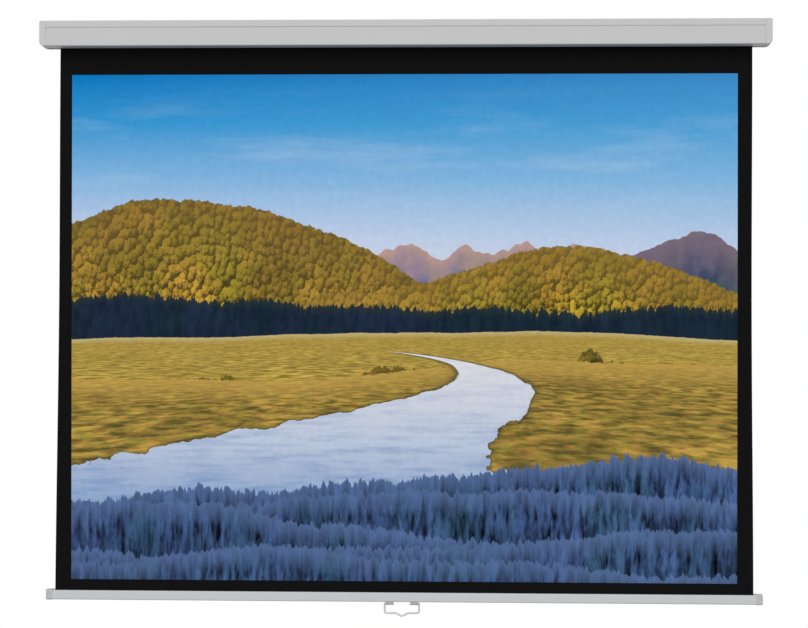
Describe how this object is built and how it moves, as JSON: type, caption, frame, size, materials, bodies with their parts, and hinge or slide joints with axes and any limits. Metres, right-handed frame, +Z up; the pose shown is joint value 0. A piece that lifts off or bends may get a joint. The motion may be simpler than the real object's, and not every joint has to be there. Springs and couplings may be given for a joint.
{
  "type": "pull down projector screen",
  "caption": "Wall-hung pull down projector screen: slim grey case with a spring roller, black-bordered white fabric, weighted bottom bar and a wire pull handle.",
  "frame": {"origin": "on the wall plane, midway between the two wall screws that carry the hangers", "axes": "+X along the case to the right as seen from the front, +Y into the wall, +Z up"},
  "size_m": [1.88, 0.068, 1.5281],
  "materials": {
    "case_paint": "satin light grey powder coat",
    "cap_plastic": "light grey moulded plastic with a fine grain",
    "bar_paint": "satin light grey coat on extruded aluminium",
    "bar_cap_plastic": "mid grey moulded plastic",
    "zinc_steel": "zinc plated steel",
    "plain_steel": "bare steel",
    "spring_steel": "oiled spring steel",
    "bronze": "sintered bronze",
    "plug_plastic": "off-white acetal",
    "handle_wire": "light grey coat on steel wire",
    "screen_white": "matt white projection surface with a black border",
    "fabric_black": "black coated fabric"
  },
  "bodies": {
    "case": {"case_rear_shell": "case_paint", "case_front_cover": "case_paint", "end_cap_left": "cap_plastic", "end_cap_right": "cap_plastic", "hanger_left": "zinc_steel", "hanger_right": "zinc_steel", "hanger_rivet_left_inner": "zinc_steel", "hanger_rivet_left_outer": "zinc_steel", "hanger_rivet_right_inner": "zinc_steel", "hanger_rivet_right_outer": "zinc_steel", "cap_screw_left_upper": "zinc_steel", "cap_screw_left_lower": "zinc_steel", "cap_screw_right_upper": "zinc_steel", "cap_screw_right_lower": "zinc_steel", "bearing_plate_left": "zinc_steel", "bearing_plate_right": "zinc_steel", "gudgeon_bush": "bronze", "spring_shaft": "plain_steel", "spring_anchor": "plain_steel", "torsion_spring": "spring_steel", "ratchet_disc": "plain_steel", "shaft_clip": "spring_steel", "screen_fabric": "screen_white"},
    "roller": {"roller_tube": "zinc_steel", "fabric_spline": "plug_plastic", "fabric_wraps": "fabric_black", "idle_plug": "plug_plastic", "gudgeon_pin": "plain_steel", "spring_plug": "plug_plastic", "shaft_bush": "bronze", "support_disc": "plug_plastic", "pawl_pin_upper": "plain_steel", "pawl_pin_lower": "plain_steel"},
    "upper_pawl": {"pawl_upper": "plain_steel"},
    "lower_pawl": {"pawl_lower": "plain_steel"},
    "bar": {"bottom_bar": "bar_paint", "bar_end_cap_left": "bar_cap_plastic", "bar_end_cap_right": "bar_cap_plastic", "fabric_hem": "fabric_black", "hem_rod": "plain_steel", "handle_lug_left": "bar_cap_plastic", "handle_lug_right": "bar_cap_plastic", "lug_screw_left": "zinc_steel", "lug_screw_right": "zinc_steel"},
    "handle": {"pull_handle": "handle_wire"}
  },
  "joints": [
    {"name": "bar_slide", "type": "slide", "parent": "case", "child": "bar", "axis": [0, 0, 1], "range_m": [0, 1.396], "deforming": ["screen_fabric"]},
    {"name": "roller_spin", "type": "hinge", "parent": "case", "child": "roller", "pos_m": [0, -0.039, -0.017], "axis": [1, 0, 0], "range_deg": [0, 3600]},
    {"name": "upper_pawl_swing", "type": "hinge", "parent": "roller", "child": "upper_pawl", "pos_m": [0.9105, -0.02904, -0.00864], "axis": [1, 0, 0], "range_deg": [0, 16]},
    {"name": "lower_pawl_swing", "type": "hinge", "parent": "roller", "child": "lower_pawl", "pos_m": [0.9105, -0.04896, -0.02536], "axis": [1, 0, 0], "range_deg": [0, 16]},
    {"name": "handle_swing", "type": "hinge", "parent": "bar", "child": "handle", "pos_m": [0, -0.0189, -1.478], "axis": [1, 0, 0], "range_deg": [-85, 85]}
  ],
  "couplings": [
    {"joint": "roller_spin", "follows": "bar_slide", "rad_per_m": 45.008}
  ]
}
